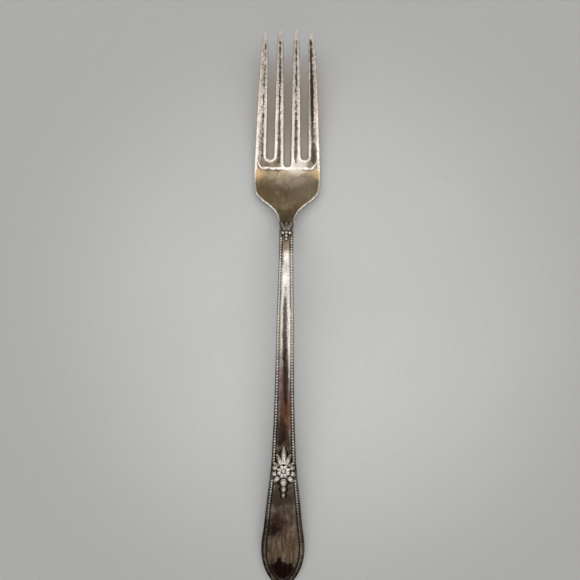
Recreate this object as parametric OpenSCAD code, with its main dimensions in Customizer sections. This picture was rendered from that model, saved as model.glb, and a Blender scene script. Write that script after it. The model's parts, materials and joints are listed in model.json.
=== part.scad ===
// A dinner fork, struck from one blank of nickel silver and silver plated all over.
// It lies on its back: the tines point to +Y and curve up, and the table is z = 0.
// The blank is the whole form a plate thickness smaller; the plate is the skin around it.
// Both backs that touch the table are worn flat, and there the blank shows through the plate.

/* [Overall] */
// Length from the end of the handle to the tips
fork_l = 192; // [150:1:220]
// Height of the back of the stem over the table, where the arch is highest
arch_h = 11.9; // [6:0.1:18]
// Height of the underside of the tips over the table
tip_h = 15.7; // [8:0.1:22]
// Thickness at the neck, the thickest place
neck_t = 3.8; // [2.8:0.1:4.8]

/* [Handle] */
// Width of the handle at its widest
handle_w = 15.4; // [11:0.1:20]
// Length of the rounded end of the handle, from its tip to the widest place
end_l = 13.5; // [8:0.5:20]
// Width of the neck, the narrowest place
neck_w = 4.8; // [4:0.1:7]
// How much the panel on the handle crowns between the borders
crown_h = 0.3; // [0:0.05:0.6]
// How much the back of the handle rounds up to its edges
back_h = 0.45; // [0.1:0.05:0.8]

/* [Border] */
// Width of the beaded border at the widest place of the handle
border_w = 1.6; // [0.9:0.05:2.2]
// Depth of the groove inside the border
groove_d = 0.22; // [0.05:0.01:0.4]
// Bevel along the edges
bevel = 0.42; // [0.2:0.02:0.6]

/* [Head] */
// Width of the head at its widest
head_w = 23.7; // [18:0.1:30]
// Dish across the head, from its middle to its edges
dish_h = 0.75; // [0.2:0.05:1.4]
// Length of the two inner tines, from the root of the middle slot to the tips
tine_l = 42.4; // [34:0.2:50]
// Width of an outer tine at its root
outer_tine_w = 4.4; // [3.8:0.1:4.8]
// Width of an inner tine at its root
inner_tine_w = 3.8; // [3.2:0.1:4.1]
// Width of the middle slot at its root
slot_w = 2.3; // [1.8:0.1:2.8]
// Distance between the middles of the two outer tips
tip_span = 15.4; // [13:0.1:18]
// Width of an outer tine where its point begins
outer_tip_w = 2.4; // [1.6:0.1:3]
// Width of an inner tine where its point begins
inner_tip_w = 2.2; // [1.6:0.1:2.8]
// How much shorter the outer tines are at their tips
tip_step = 0.8; // [0:0.1:2]
// How much higher the roots of the outer slots sit than the root of the middle slot
root_step = 2.5; // [0:0.1:4]

/* [Ornament] */
// Relief of the crest over the panel
crest_h = 0.42; // [0.2:0.02:0.6]
// Height of the crest along the handle
crest_l = 19; // [12:0.5:24]

/* [Plating] */
// Thickness of the silver
plate_t = 0.03; // [0.02:0.005:0.05]
// Depth that wear has taken off the two backs that touch the table
wear_d = 0.09; // [0.07:0.01:0.2]

/* [Hidden] */
end_y = -fork_l / 2;
tip_y = fork_l / 2;
wide_y = end_y + end_l;
neck_y = end_y + 0.64 * fork_l;
head_y = end_y + 0.754 * fork_l;
root_y = tip_y - tine_l;
join_y = root_y + root_step + 0.75 * slot_w;
lap = 0.2 * slot_w;
tuck = 0.06 * slot_w;
nose_l = 0.165 * tine_l;
taper_power = 1.4;

// Height of the back over the table: [share of the length, share of arch_h, share of tip_h]
back_shares = [
    [0, 0.021, 0], [0.026, 0, 0], [0.052, 0.025, 0], [0.083, 0.092, 0], [0.135, 0.244, 0],
    [0.1875, 0.42, 0], [0.292, 0.706, 0], [0.396, 0.924, 0], [0.484, 1, 0], [0.573, 0.924, 0],
    [0.6146, 0.756, 0], [0.6458, 0.521, 0], [0.677, 0.26, 0], [0.698, 0.126, 0], [0.719, 0.05, 0],
    [0.74, 0.01, 0], [0.755, 0, 0], [0.776, 0, 0.013], [0.8125, 0, 0.076], [0.8646, 0, 0.229],
    [0.9167, 0, 0.452], [0.96875, 0, 0.758], [1, 0, 1],
];

// Thickness square to the surface: [share of the length, share of neck_t]
thickness_shares = [
    [0, 0.58], [0.05, 0.7], [0.2, 0.78], [0.4, 0.87], [0.6, 0.95], [0.65, 1],
    [0.71, 0.78], [0.76, 0.64], [0.8, 0.66], [0.9, 0.56], [0.97, 0.42], [1, 0.34],
];

// Width from the widest place of the handle (0) to the neck (1): share of handle_w over neck_w
stem_shares = [
    [0, 1], [0.033, 0.956], [0.067, 0.85], [0.101, 0.775], [0.168, 0.638], [0.235, 0.473],
    [0.302, 0.345], [0.368, 0.285], [0.433, 0.226], [0.498, 0.183], [0.626, 0.131],
    [0.75, 0.092], [0.875, 0.034], [1, 0],
];

// Width from the neck (0) to the widest place of the head (1): share of head_w over neck_w
shoulder_shares = [
    [0, 0], [0.182, 0.012], [0.291, 0.041], [0.382, 0.09], [0.473, 0.2], [0.568, 0.41],
    [0.664, 0.7], [0.768, 0.91], [0.88, 0.98], [1, 1],
];

// How much of the handle's relief is left along the neck, and how much of the head's dish is there
relief_shares = [[0, 1], [0.62, 1], [0.66, 0.9], [0.68, 0.25], [0.69, 0], [1, 0]];
dish_shares = [[0, 0], [0.65, 0], [0.68, 0.15], [0.71, 0.7], [0.74, 1], [0.9, 1], [1, 0.6]];

// Smooth curve through the points [place, value], flat at its two ends
function knot(ks, s) = max([for (i = [0:len(ks) - 2]) if (i == 0 || ks[i][0] <= s) i]);
function lean(ks, i) =
    i == 0 || i == len(ks) - 1 ? 0 : (ks[i + 1][1] - ks[i - 1][1]) / (ks[i + 1][0] - ks[i - 1][0]);
function blend(a, b, ma, mb, d, u) =
    a + d * ma * u + (3 * (b - a) - d * (2 * ma + mb)) * u * u + (2 * (a - b) + d * (ma + mb)) * u * u * u;
function curve(ks, s, i) =
    blend(ks[i][1], ks[i + 1][1], lean(ks, i), lean(ks, i + 1), ks[i + 1][0] - ks[i][0],
        (s - ks[i][0]) / (ks[i + 1][0] - ks[i][0]));
function at(ks, s) = curve(ks, s, knot(ks, s));

// Places along the fork
function share(y) = max(0, min(1, (y - end_y) / fork_l));
back_line = [for (k = back_shares) [k[0], k[1] * arch_h + k[2] * tip_h]];
function back_z(y) = at(back_line, share(y)) - wear_d;
function slope(y) = (back_z(y + 0.005 * fork_l) - back_z(y - 0.005 * fork_l)) / (0.01 * fork_l);
function deep(y) = neck_t * at(thickness_shares, share(y)) * sqrt(1 + slope(y) * slope(y));
function relief(y) = at(relief_shares, share(y));
function dish(y) = dish_h * at(dish_shares, share(y));

// Half of the width of a tine: o is 1 for an outer tine and 0 for an inner one
function taper(y) = pow(max(0, min(1, (y - head_y) / (tip_y - head_y))), taper_power);
function tip(o) = tip_y - o * tip_step;
function point(o, y) = sqrt(max(0, 1 - pow(max(0, (y - tip(o) + nose_l) / nose_l), 2)));
function blade(o, y) =
    o == 1 ? outer_tine_w + (outer_tip_w - outer_tine_w) * taper(y) : inner_tine_w + (inner_tip_w - inner_tine_w) * taper(y);
function tine_half(o, y) = blade(o, y) / 2 * point(o, y);
function tine_x(o, y) =
    o == 1
        ? (head_w - outer_tine_w + (tip_span - head_w + outer_tine_w) * taper(y)) / 2
        : (slot_w + inner_tine_w + (inner_tip_share * tip_span - slot_w - inner_tine_w) * taper(y)) / 2;
inner_tip_share = 0.344;

// Half of the whole width at y
function half_w(y) =
    y < wide_y ? handle_w / 2 * sqrt(max(0, 1 - pow((wide_y - y) / end_l, 2)))
    : y < neck_y ? (neck_w + (handle_w - neck_w) * at(stem_shares, (y - wide_y) / (neck_y - wide_y))) / 2
    : y < head_y ? (neck_w + (head_w - neck_w) * at(shoulder_shares, (y - neck_y) / (head_y - neck_y))) / 2
    : tine_x(1, y) + blade(1, y) / 2;

// Height of the upper side and of the back at a place on the fork
function across(x, y) = min(1, pow(x / max(half_w(y), bevel), 2));
function top(x, y) =
    back_z(y) + deep(y) + crown_h * relief(y) * (1 - across(x, y)) + dish(y) * across(x, y);
function back(x, y) =
    back_z(y) + (back_h * (1 - dish(y) / dish_h) + back_dish_share * dish(y)) * across(x, y);
back_dish_share = 0.5;
function edge(x, y) = min(bevel, 0.28 * (top(x, y) - back(x, y)));

// Skin over rings of points, closed at both ends
module skin(rings) {
    n = len(rings[0]);
    last = len(rings) - 1;
    sides = [
        for (i = [0:last - 1], j = [0:n - 1])
            let (a = i * n + j, b = i * n + (j + 1) % n)
                each [[a, b, a + n], [b, b + n, a + n]]
    ];
    lids = [[for (j = [n - 1:-1:0]) j], [for (j = [0:n - 1]) last * n + j]];
    polyhedron(points = [for (r = rings) each r], faces = concat(sides, lids));
}

// One ring around the handle, the stem, the neck or the bowl: h is half of its width, and its heights are those at p
function border(p) = min(border_w * (0.45 + 1.1 * half_w(p) / handle_w), 0.45 * half_w(p));
function body_right(p, t, h) =
    let (
        e = min(edge(h, p), h / 3),
        x = h + t - border(p),
        g = groove_share * border(p),
        d = groove_d * relief(p) * max(0, min(1, half_w(p) / border_w - 1)),
        low = back(h, p) + t,
        high = top(h, p) - t
    ) [
        [h - e, low],
        [h, low + e],
        [h, high - e],
        [h - e, high],
        [x, top(x, p) - t],
        [x - g / 2, top(x - g / 2, p) - d - t],
        [x - g, top(x - g, p) - t],
        [(x - g) / 2, top((x - g) / 2, p) - t],
    ];
groove_share = 0.3;
function body_ring(y, t, h, p) =
    let (r = body_right(p, t, h), n = len(r))
        [
            for (q = r) [q[0], y, q[1]],
            for (i = [n - 1:-1:0]) [-r[i][0], y, r[i][1]],
            [-h / 2, y, back(h / 2, p) + t],
            [0, y, back(0, p) + t],
            [h / 2, y, back(h / 2, p) + t],
        ];

// Places of the rings: close together on the rounded end and on the shoulders
end_turns = [4, 13, 24, 36, 49, 62, 76];
stem_places = [for (i = [0:20]) wide_y + (neck_y - wide_y) * i / 21];
neck_places = [for (i = [0:11]) neck_y + (head_y - neck_y) * i / 12];
function bowl_places(t) = [for (i = [0:4]) head_y + (join_y - t - head_y) * i / 4];

module body(t) {
    skin(concat(
        [
            for (a = end_turns)
                body_ring(wide_y - (end_l - t) * cos(a), t, (handle_w / 2 - t) * sin(a), wide_y - end_l * cos(a))
        ],
        [for (y = concat(stem_places, neck_places, bowl_places(t))) body_ring(y, t, half_w(y) - t, y)]
    ));
}

// One tine, bevelled all along, that ends in a rounded point
nose_turns = [72, 54, 38, 24, 12, 3];
function tine_ring(o, y, t, h) =
    let (
        x = tine_x(o, y),
        e = min(edge(x, y), 0.45 * h),
        l = x - h,
        r = x + h
    ) [
        [r - e, y, back(r, y) + t],
        [r, y, back(r, y) + t + e],
        [r, y, top(r, y) - t - e],
        [r - e, y, top(r, y) - t],
        [l + e, y, top(l, y) - t],
        [l, y, top(l, y) - t - e],
        [l, y, back(l, y) + t + e],
        [l + e, y, back(l, y) + t],
    ];
module tine(o, t) {
    first = join_y + lap;
    straight = tip(o) - nose_l;
    skin(concat(
        [let (y = join_y - lap) tine_ring(o, y, t + tuck, tine_half(o, y) - t - tuck)],
        [for (i = [0:8]) let (y = first + (straight - first) * i / 8) tine_ring(o, y, t, tine_half(o, y) - t)],
        [
            for (a = nose_turns)
                let (y = straight + (nose_l - t) * cos(a))
                    tine_ring(o, y, t, (blade(o, y) / 2 - t) * sin(a))
        ]
    ));
}

// The round root of a slot, with its bevels: s is -1, 0 or 1 from left to right
function slot_left(s, y) = s == 0 ? -tine_x(0, y) + blade(0, y) / 2 : tine_x(0, y) + blade(0, y) / 2;
function slot_right(s, y) = s == 0 ? tine_x(0, y) - blade(0, y) / 2 : tine_x(1, y) - blade(1, y) / 2;
function slot_half(s, y) = (slot_right(s, y) - slot_left(s, y)) / 2;
function slot_x(s, y) = (slot_right(s, y) + slot_left(s, y)) / 2 * (s < 0 ? -1 : 1);
module slot_root(s, t) {
    start = root_y + abs(s) * root_step;
    near = start + slot_half(s, start);
    far = join_y + slot_w;
    hull() for (y = [near, far])
        translate([slot_x(s, y), y, back(slot_x(s, y), y) - neck_t])
            cylinder(h = 3 * neck_t, r = slot_half(s, y) + t, $fn = 16);
    hull() for (y = [near, far])
        translate([slot_x(s, y), y, top(slot_x(s, y), y) - t])
            flare(slot_half(s, y) + t, edge(slot_x(s, y), y), 1);
    hull() for (y = [near, far])
        translate([slot_x(s, y), y, back(slot_x(s, y), y) + t])
            flare(slot_half(s, y) + t, edge(slot_x(s, y), y), -1);
}
module flare(r, e, way) {
    scale([1, 1, way]) translate([0, 0, -e]) cylinder(h = 2 * e, r1 = r, r2 = r + 2 * e, $fn = 16);
}

// A struck leaf or petal with a ridge along it: it starts at x, y and reaches dx, dy from there
leaf_shares = [[0, 0.5, 0.5], [0.42, 1, 1], [1, 0.12, 0.2]];
sink_share = 0.12;
module leaf(x, y, dx, dy, w, rise, t) {
    sink = sink_share * neck_t;
    l = norm([dx, dy]);
    skin([
        for (p = leaf_shares)
            let (
                along = t / l + p[0] * (1 - 2 * t / l),
                cx = x + along * dx,
                cy = y + along * dy,
                h = p[1] * w / 2 - t,
                z = top(cx, cy) - t
            ) [
                [cx + h * dy / l, cy - h * dx / l, z - sink],
                [cx, cy, z + p[2] * rise * crest_h],
                [cx - h * dy / l, cy + h * dx / l, z - sink],
            ]
    ]);
}
module pearl(x, y, r, rise, t) {
    translate([x, y, top(x, y)]) scale([1, 1, (rise * crest_h - t) / (r - t)]) sphere(r = r - t, $fn = 8);
}

// Crest: a fan of five leaves over a rosette of eight petals, two sprays beside it and a drop of husks.
// It is as tall as crest_l and as wide as the handle there: shares go across with the first, up with the second.
crest_y = end_y + 0.224 * fork_l;
crest_half = half_w(crest_y);
fan_y = crest_y + 0.05 * crest_l;
fan_leaves = [[-0.78, 0.15, 0.7], [-0.46, 0.34, 0.85], [0, 0.48, 1], [0.46, 0.34, 0.85], [0.78, 0.15, 0.7]];
sprays = [[0.38, 0.02, 0.5, 0], [0.36, -0.03, 0.5, -0.08], [0.28, -0.09, 0.38, -0.13]];
husks = [[-0.13, 0.19, 0.5], [-0.27, 0.17, 0.42], [-0.4, 0.14, 0.34]];
module crest(t) {
    for (f = fan_leaves) leaf(0, fan_y, f[0] * crest_half, f[1] * crest_l, 0.58 * crest_half, f[2], t);
    for (a = [22.5:45:337.5])
        leaf(
            0.12 * crest_half * sin(a), crest_y + 0.12 * crest_half * cos(a),
            0.42 * crest_half * sin(a), 0.42 * crest_half * cos(a), 0.38 * crest_half, 1.1, t
        );
    pearl(0, crest_y, 0.19 * crest_half, 1.5, t);
    for (way = [-1, 1], s = sprays)
        leaf(
            way * s[0] * crest_half, crest_y + s[1] * crest_l, way * s[2] * crest_half, s[3] * crest_l,
            0.36 * crest_half, 0.8, t
        );
    for (h = husks) leaf(0, crest_y + h[0] * crest_l, 0, -h[1] * crest_l, h[2] * crest_half, 0.8, t);
}

// Small ornament at the neck: one husk of three leaves over three pearls
spray_y = end_y + 0.655 * fork_l;
module neck_spray(t) {
    for (way = [-0.45, 0, 0.45]) leaf(0, spray_y, way * neck_w, 0.78 * neck_w, 0.32 * neck_w, 0.6, t);
    for (i = [0:2]) pearl(0, spray_y - 0.24 * i * neck_w, (0.14 - 0.02 * i) * neck_w, 0.8, t);
}

// The whole fork, t smaller all round, standing a little under the table where it will be worn
module fork_form(t) {
    difference() {
        body(t);
        for (s = [-1, 0, 1]) slot_root(s, t);
    }
    for (way = [-1, 1], o = [0, 1]) mirror([way < 0 ? 1 : 0, 0, 0]) tine(o, t);
    crest(t);
    neck_spray(t);
}
module wear() {
    translate([-head_w, end_y - head_w, -neck_t]) cube([2 * head_w, fork_l + 2 * head_w, neck_t]);
}

module nickel_silver_blank() {
    color("darkkhaki") difference() {
        fork_form(plate_t);
        wear();
    }
}

module silver_plate() {
    color("silver") difference() {
        fork_form(0);
        fork_form(plate_t);
        wear();
    }
}

nickel_silver_blank();
silver_plate();
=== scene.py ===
# %% [markdown]
# # A silver-plated dinner fork
# The fork lies on a pale table, tines up. It is one struck blank of nickel silver with a thin coat of
# silver, now old and tarnished. This lesson builds its form with the struck ornament, the bead border
# and the worn finish, and then lights it softly. Sizes are in millimetres, and become metres at the end.

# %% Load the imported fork
import json
import math
from functools import reduce
from types import SimpleNamespace

import bmesh
import bpy
import numpy as np
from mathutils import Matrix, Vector
from mathutils.geometry import delaunay_2d_cdt

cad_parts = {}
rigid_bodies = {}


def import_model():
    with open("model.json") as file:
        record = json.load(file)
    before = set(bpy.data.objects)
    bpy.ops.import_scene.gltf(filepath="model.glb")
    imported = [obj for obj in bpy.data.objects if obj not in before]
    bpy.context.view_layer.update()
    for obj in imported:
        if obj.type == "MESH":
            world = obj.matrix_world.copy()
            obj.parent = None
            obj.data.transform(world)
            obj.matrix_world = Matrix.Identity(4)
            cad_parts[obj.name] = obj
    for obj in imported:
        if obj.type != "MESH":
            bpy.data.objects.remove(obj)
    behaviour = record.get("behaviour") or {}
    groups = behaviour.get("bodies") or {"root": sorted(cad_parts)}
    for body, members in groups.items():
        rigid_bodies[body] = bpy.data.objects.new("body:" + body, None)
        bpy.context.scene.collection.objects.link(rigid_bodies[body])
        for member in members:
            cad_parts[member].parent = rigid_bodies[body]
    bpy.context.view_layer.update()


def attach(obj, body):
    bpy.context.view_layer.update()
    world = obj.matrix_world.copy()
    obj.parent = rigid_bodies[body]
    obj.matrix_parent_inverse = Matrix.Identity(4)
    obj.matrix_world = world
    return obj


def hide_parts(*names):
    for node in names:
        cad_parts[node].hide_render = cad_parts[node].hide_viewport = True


for leftover in list(bpy.data.objects):
    bpy.data.objects.remove(leftover)
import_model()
MM = 0.001

# %% [markdown]
# ## The sizes of the fork
# A fork is drawn from a few widths and lengths, and from side views. Shares say where along the fork, from
# 0 at the end of the handle to 1 at the tips, each height or width is reached. A smooth curve goes
# through them, as a maker would draw it with a bent batten.

# %% Sizes
FORK_L, ARCH_H, TIP_H = 192.0, 11.9, 15.7  # the whole length, and the rise of the stem and of the tips
HANDLE_W, END_L = 15.4, 13.5  # the handle and its round end
NECK_W, NECK_T, HEAD_W = 4.8, 3.8, 23.7
TINE_L, SLOT_W, TINE_TAPER = 42.4, 2.3, 1.4
OUTER_W, INNER_W = 4.4, 3.8  # a tine at its root
OUTER_TIP_W, INNER_TIP_W, TIP_SPAN = 2.4, 2.2, 15.4  # and at its point
TIP_STEP, ROOT_STEP = 0.8, 2.5  # the outer tines end lower, and the outer slots are less deep
CROWN_H, BACK_H, DISH_H = 0.3, 0.45, 0.75  # crown of the handle, round of the back, dish of the head
BORDER_W, GROOVE_D = 1.6, 0.22  # the strip under the beads, and the groove beside it
CREST_L, CREST_H = 19.0, 0.42
PLATE_T, WEAR_D, RIM_R = 0.03, 0.09, 0.46  # the silver, the wear at the table, the rounded rim
TINE_CROWN, NOSE_L = 0.17, 0.165 * TINE_L  # the rounding of a tine, and its point seen from above
POINT_L, NOSE_DROP, NOSE_RISE, TIP_SLOPE = 5.0, 0.34, 0.36, 0.66  # its point seen from the side
END_Y, TIP_Y, ROOT_Y = -FORK_L / 2, FORK_L / 2, FORK_L / 2 - TINE_L
WIDE_Y, NECK_Y, HEAD_Y = END_Y + END_L, END_Y + 0.64 * FORK_L, END_Y + 0.754 * FORK_L
CREST_Y, SPRAY_Y = END_Y + 0.224 * FORK_L, END_Y + 0.655 * FORK_L
BEADS_END, DIRT_END, LINES_END, BARE_START = NECK_Y + 0.6, NECK_Y + 2, NECK_Y + 2.5, NECK_Y + 2.9

# shares of the length, each with how far the back has risen to the arch, and later to the tips
ARCH = [
    [0, 0.021], [0.026, 0], [0.052, 0.025], [0.083, 0.092], [0.135, 0.244], [0.1875, 0.42],
    [0.292, 0.706], [0.396, 0.924], [0.484, 1], [0.573, 0.924], [0.6146, 0.756], [0.6458, 0.521],
    [0.677, 0.26], [0.698, 0.126], [0.719, 0.05], [0.74, 0.01], [0.755, 0],
]
RISE = [
    [0.776, 0.013], [0.8125, 0.076], [0.8646, 0.229], [0.9167, 0.452], [0.96875, 0.758], [1, 1],
]
BACK_LINE = [[s, a * ARCH_H] for s, a in ARCH] + [[s, b * TIP_H] for s, b in RISE]
THICKNESS = [
    [0, 0.58], [0.05, 0.7], [0.2, 0.78], [0.4, 0.87], [0.6, 0.95], [0.65, 1],
    [0.71, 0.78], [0.76, 0.64], [0.8, 0.66], [0.9, 0.56], [0.97, 0.42], [1, 0.34],
]
STEM = [
    [0, 1], [0.033, 0.956], [0.067, 0.85], [0.101, 0.775], [0.168, 0.638], [0.235, 0.473],
    [0.302, 0.345], [0.368, 0.285], [0.433, 0.226], [0.498, 0.183], [0.626, 0.131],
    [0.75, 0.092], [0.875, 0.034], [1, 0],
]
SHOULDER = [
    [0, 0], [0.182, 0.012], [0.291, 0.041], [0.382, 0.09], [0.473, 0.2], [0.568, 0.41],
    [0.664, 0.7], [0.768, 0.91], [0.88, 0.98], [1, 1],
]
RELIEF = [[0, 1], [0.62, 1], [0.66, 0.9], [0.68, 0.25], [0.69, 0], [1, 0]]
DISH = [[0, 0], [0.65, 0], [0.68, 0.15], [0.71, 0.7], [0.74, 1], [0.9, 1], [1, 0.6]]


def curve(knots, s, end_lean=0.0):
    """Smooth curve through the knots, flat where it starts and with the given lean where it ends."""
    k = np.array(knots, float)
    s = np.clip(np.asarray(s, float), k[0, 0], k[-1, 0])
    lean = np.zeros(len(k))
    lean[1:-1] = (k[2:, 1] - k[:-2, 1]) / (k[2:, 0] - k[:-2, 0])
    lean[-1] = end_lean
    i = np.clip(np.searchsorted(k[:, 0], s, side="right") - 1, 0, len(k) - 2)
    d = k[i + 1, 0] - k[i, 0]
    u = (s - k[i, 0]) / d
    a, b, ma, mb = k[i, 1], k[i + 1, 1], lean[i] * d, lean[i + 1] * d
    return a + ma * u + (3 * (b - a) - 2 * ma - mb) * u**2 + (2 * (a - b) + ma + mb) * u**3


def ease(v):
    """A soft step from 0 to 1."""
    v = np.clip(v, 0, 1)
    return v * v * (3 - 2 * v)


def share(y):
    return np.clip((np.asarray(y, float) - END_Y) / FORK_L, 0, 1)


def taper(y):
    return np.clip((y - HEAD_Y) / (TIP_Y - HEAD_Y), 0, 1) ** TINE_TAPER


def blade(outer, y):
    """Width of a tine."""
    a, b = (OUTER_W, OUTER_TIP_W) if outer else (INNER_W, INNER_TIP_W)
    return a + (b - a) * taper(y)


def tine_x(outer, y):
    """Middle line of a tine."""
    a, b = (HEAD_W - OUTER_W, TIP_SPAN) if outer else (SLOT_W + INNER_W, 0.344 * TIP_SPAN)
    return (a + (b - a) * taper(y)) / 2


def half_w(y):
    """Half of the whole width of the fork at y."""
    y = np.asarray(y, float)
    end = HANDLE_W / 2 * np.sqrt(np.clip(1 - ((WIDE_Y - y) / END_L) ** 2, 0, 1))
    stem = (NECK_W + (HANDLE_W - NECK_W) * curve(STEM, (y - WIDE_Y) / (NECK_Y - WIDE_Y))) / 2
    shoulder = (NECK_W + (HEAD_W - NECK_W) * curve(SHOULDER, (y - NECK_Y) / (HEAD_Y - NECK_Y))) / 2
    head = tine_x(True, y) + blade(True, y) / 2
    return np.where(y < WIDE_Y, end, np.where(y < NECK_Y, stem, np.where(y < HEAD_Y, shoulder, head)))


print("half widths at the handle, the neck and the head:", half_w([WIDE_Y, NECK_Y, HEAD_Y]).round(2))

# %% [markdown]
# ## The two sides of the metal
# The upper side is the back plus the thickness, with a low crown on the handle and a shallow dish in the
# head. They change smoothly into each other at the neck, so one rule covers the whole fork. Long
# polishing has rounded the tines, which taper to their points from above and from below.

# %% Heights of the upper side and of the back
def back_z(y):
    return curve(BACK_LINE, share(y), TIP_SLOPE * FORK_L) - WEAR_D


def slope(y):
    near, far = np.maximum(y - 0.005 * FORK_L, END_Y), np.minimum(y + 0.005 * FORK_L, TIP_Y)
    return (back_z(far) - back_z(near)) / (far - near)


def deep(y):
    """Thickness of the metal, measured straight down."""
    return NECK_T * curve(THICKNESS, share(y)) * np.sqrt(1 + slope(y) ** 2)


def across(x, y):
    """0 on the middle line of the fork, 1 at its edge."""
    return np.minimum(1, (x / np.maximum(half_w(y), 0.42)) ** 2)


def relief_share(y):
    return curve(RELIEF, share(y))


def dish(y):
    return DISH_H * curve(DISH, share(y))


def tine_place(x, y, shift=0.0):
    """0 on the middle line of the nearest tine, 1 at its edge; shift moves the outer lines inwards."""
    x = np.abs(x)
    return np.minimum(*(np.abs(x - tine_x(o, y) + o * shift) / (blade(o, y) / 2) for o in (False, True)))


def nose(x, y):
    """0 along a tine, rising to 1 at its point."""
    point = TIP_Y - TIP_STEP * (np.abs(x) > (tine_x(True, y) + tine_x(False, y)) / 2)
    return np.clip(1 - (point - y) / POINT_L, 0, 1) ** 2


def rounding(x, y):
    """What a century of polishing takes off the edges and the points of the tines."""
    edge = TINE_CROWN * ease((y - ROOT_Y - 1) / 9) * np.clip(tine_place(x, y, 0.75), 0, 1.4) ** 2
    return edge + NOSE_DROP * nose(x, y)


def top(x, y):
    form = back_z(y) + deep(y) + CROWN_H * relief_share(y) * (1 - across(x, y)) + dish(y) * across(x, y)
    return form - rounding(x, y)


def back(x, y):
    form = (BACK_H * (1 - dish(y) / DISH_H) + 0.5 * dish(y)) * across(x, y)
    return back_z(y) + form + NOSE_RISE * nose(x, y)


def border(y):
    """Width of the bead border: narrow on the stem, broad on the handle and even round its end."""
    y = np.maximum(y, WIDE_Y)
    return np.minimum(BORDER_W * (0.45 + 1.1 * half_w(y) / HANDLE_W), 0.45 * half_w(y))


heights = [float(top(x, y).round(2)) for x, y in ((0, -3.0), (2.65, TIP_Y))]
print("top of the arch and of the inner tips, in mm:", heights)

# %% [markdown]
# ## The outline
# Seen from above the fork is one closed line: round the handle, up the stem, over the shoulder and in and
# out of every slot. The right half is drawn and mirrored. Each point also has the radius of the rim there,
# which shrinks towards the points of the tines.

# %% Right half of the outline, from the end of the handle to the middle slot
TURNS = [90, 75, 62, 51, 42, 34, 27, 21, 15.5, 10.5, 6, 2.5]  # degrees from the point of a tine
WALL_STEP = 0.5


def slot_sides(k, y):
    """Left and right wall of slot k: 0 is the middle one, 1 the right one."""
    near, half = tine_x(False, y), blade(False, y) / 2
    return (near + half, tine_x(True, y) - blade(True, y) / 2) if k else (-(near - half), near - half)


def tine_path(outer):
    """The point of a tine, from its outer side over the tip to its inner side."""
    turn = np.radians(TURNS + [-t for t in reversed(TURNS)])
    y = TIP_Y - outer * TIP_STEP - NOSE_L + NOSE_L * np.cos(turn)
    half = blade(outer, y) / 2 * np.abs(np.sin(turn)) ** 0.86
    return np.stack([tine_x(outer, y) + np.sign(turn) * half, y], 1), np.clip(0.42 * half, 0.12, RIM_R)


def plain(x, y):
    return np.stack([x, y], 1), np.full(len(y), RIM_R)


def wall(side, y0, y1):
    """A side that runs up or down between two levels, without its end points."""
    y = np.linspace(y0, y1, max(2, int(abs(y1 - y0) / WALL_STEP)) + 1)[1:-1]
    return plain(side(y), y)


def slot_root(k):
    """The round root of a slot from its right wall to its left one, and its level; k = 0 stops at x = 0."""
    start = ROOT_Y + k * ROOT_STEP
    a, b = slot_sides(k, start)
    r = (b - a) / 2
    turn = np.radians(np.linspace(0, 180, 19) if k else np.linspace(0, 90, 10)[:-1])
    return plain((a + b) / 2 + r * np.cos(turn), start + r - r * np.sin(turn)), start + r


def half_outline():
    turn = np.radians(np.linspace(0, 90, 52))[1:]
    shoulder = NECK_Y + (HEAD_Y - NECK_Y) * np.linspace(0, 1, 96)
    outer, inner = tine_path(True), tine_path(False)
    (right_root, level), (middle_root, middle_level) = slot_root(1), slot_root(0)
    pieces = [
        plain(HANDLE_W / 2 * np.sin(turn), WIDE_Y - END_L * np.cos(turn)),
        wall(half_w, WIDE_Y, NECK_Y), plain(half_w(shoulder), shoulder),
        wall(half_w, HEAD_Y, outer[0][0, 1]), outer,
        wall(lambda y: slot_sides(1, y)[1], outer[0][-1, 1], level), right_root,
        wall(lambda y: slot_sides(1, y)[0], level, inner[0][0, 1]), inner,
        wall(lambda y: slot_sides(0, y)[1], inner[0][-1, 1], middle_level), middle_root,
    ]
    return np.concatenate([p for p, _ in pieces]), np.concatenate([r for _, r in pieces])


right, right_rim = half_outline()
outline = np.concatenate([[[0.0, END_Y]], right, [[0.0, ROOT_Y]], right[::-1] * [-1, 1]])
rim = np.concatenate([[RIM_R], right_rim, [RIM_R], right_rim[::-1]])
way = np.roll(outline, -1, 0) - np.roll(outline, 1, 0)
way /= np.hypot(*way.T)[:, None]
inward = np.stack([-way[:, 1], way[:, 0]], 1)


def round_handle(limit):
    """Outline points below a limit: down the left side, round the end and up the right side."""
    ids = np.where(outline[:, 1] < limit)[0]
    half = len(outline) // 2
    return np.concatenate([ids[ids > half], ids[ids <= half]])


edge_length = np.hypot(*(np.roll(outline, -1, 0) - outline).T).sum()
print("points in the outline:", len(outline), "length of the edge:", round(float(edge_length)), "mm")

# %% [markdown]
# ## The struck ornament
# On the real fork the dies raise the ornament out of the metal, so there is no edge where it was added.
# Here every leaf is a small rule that says how high the metal stands at a place, and the highest wins. The
# motifs are plain classical ones: a fan of five leaves, a rosette of eight petals, sprays and husks.

# %% Heights of leaves and domes
CREST_HALF = float(half_w(CREST_Y))
# across in half widths of the handle, along in lengths of the crest
FAN = [[-0.86, 0.12, 0.8], [0.86, 0.12, 0.8], [-0.56, 0.29, 0.95], [0.56, 0.29, 0.95], [0, 0.43, 1.1]]
SPRAYS = [[0.36, 0.05, 0.58, 0.035], [0.4, -0.02, 0.56, -0.05], [0.3, -0.08, 0.46, -0.13]]
HUSKS = [[-0.12, 0.19, 0.66], [-0.26, 0.17, 0.52], [-0.39, 0.14, 0.4]]


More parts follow.
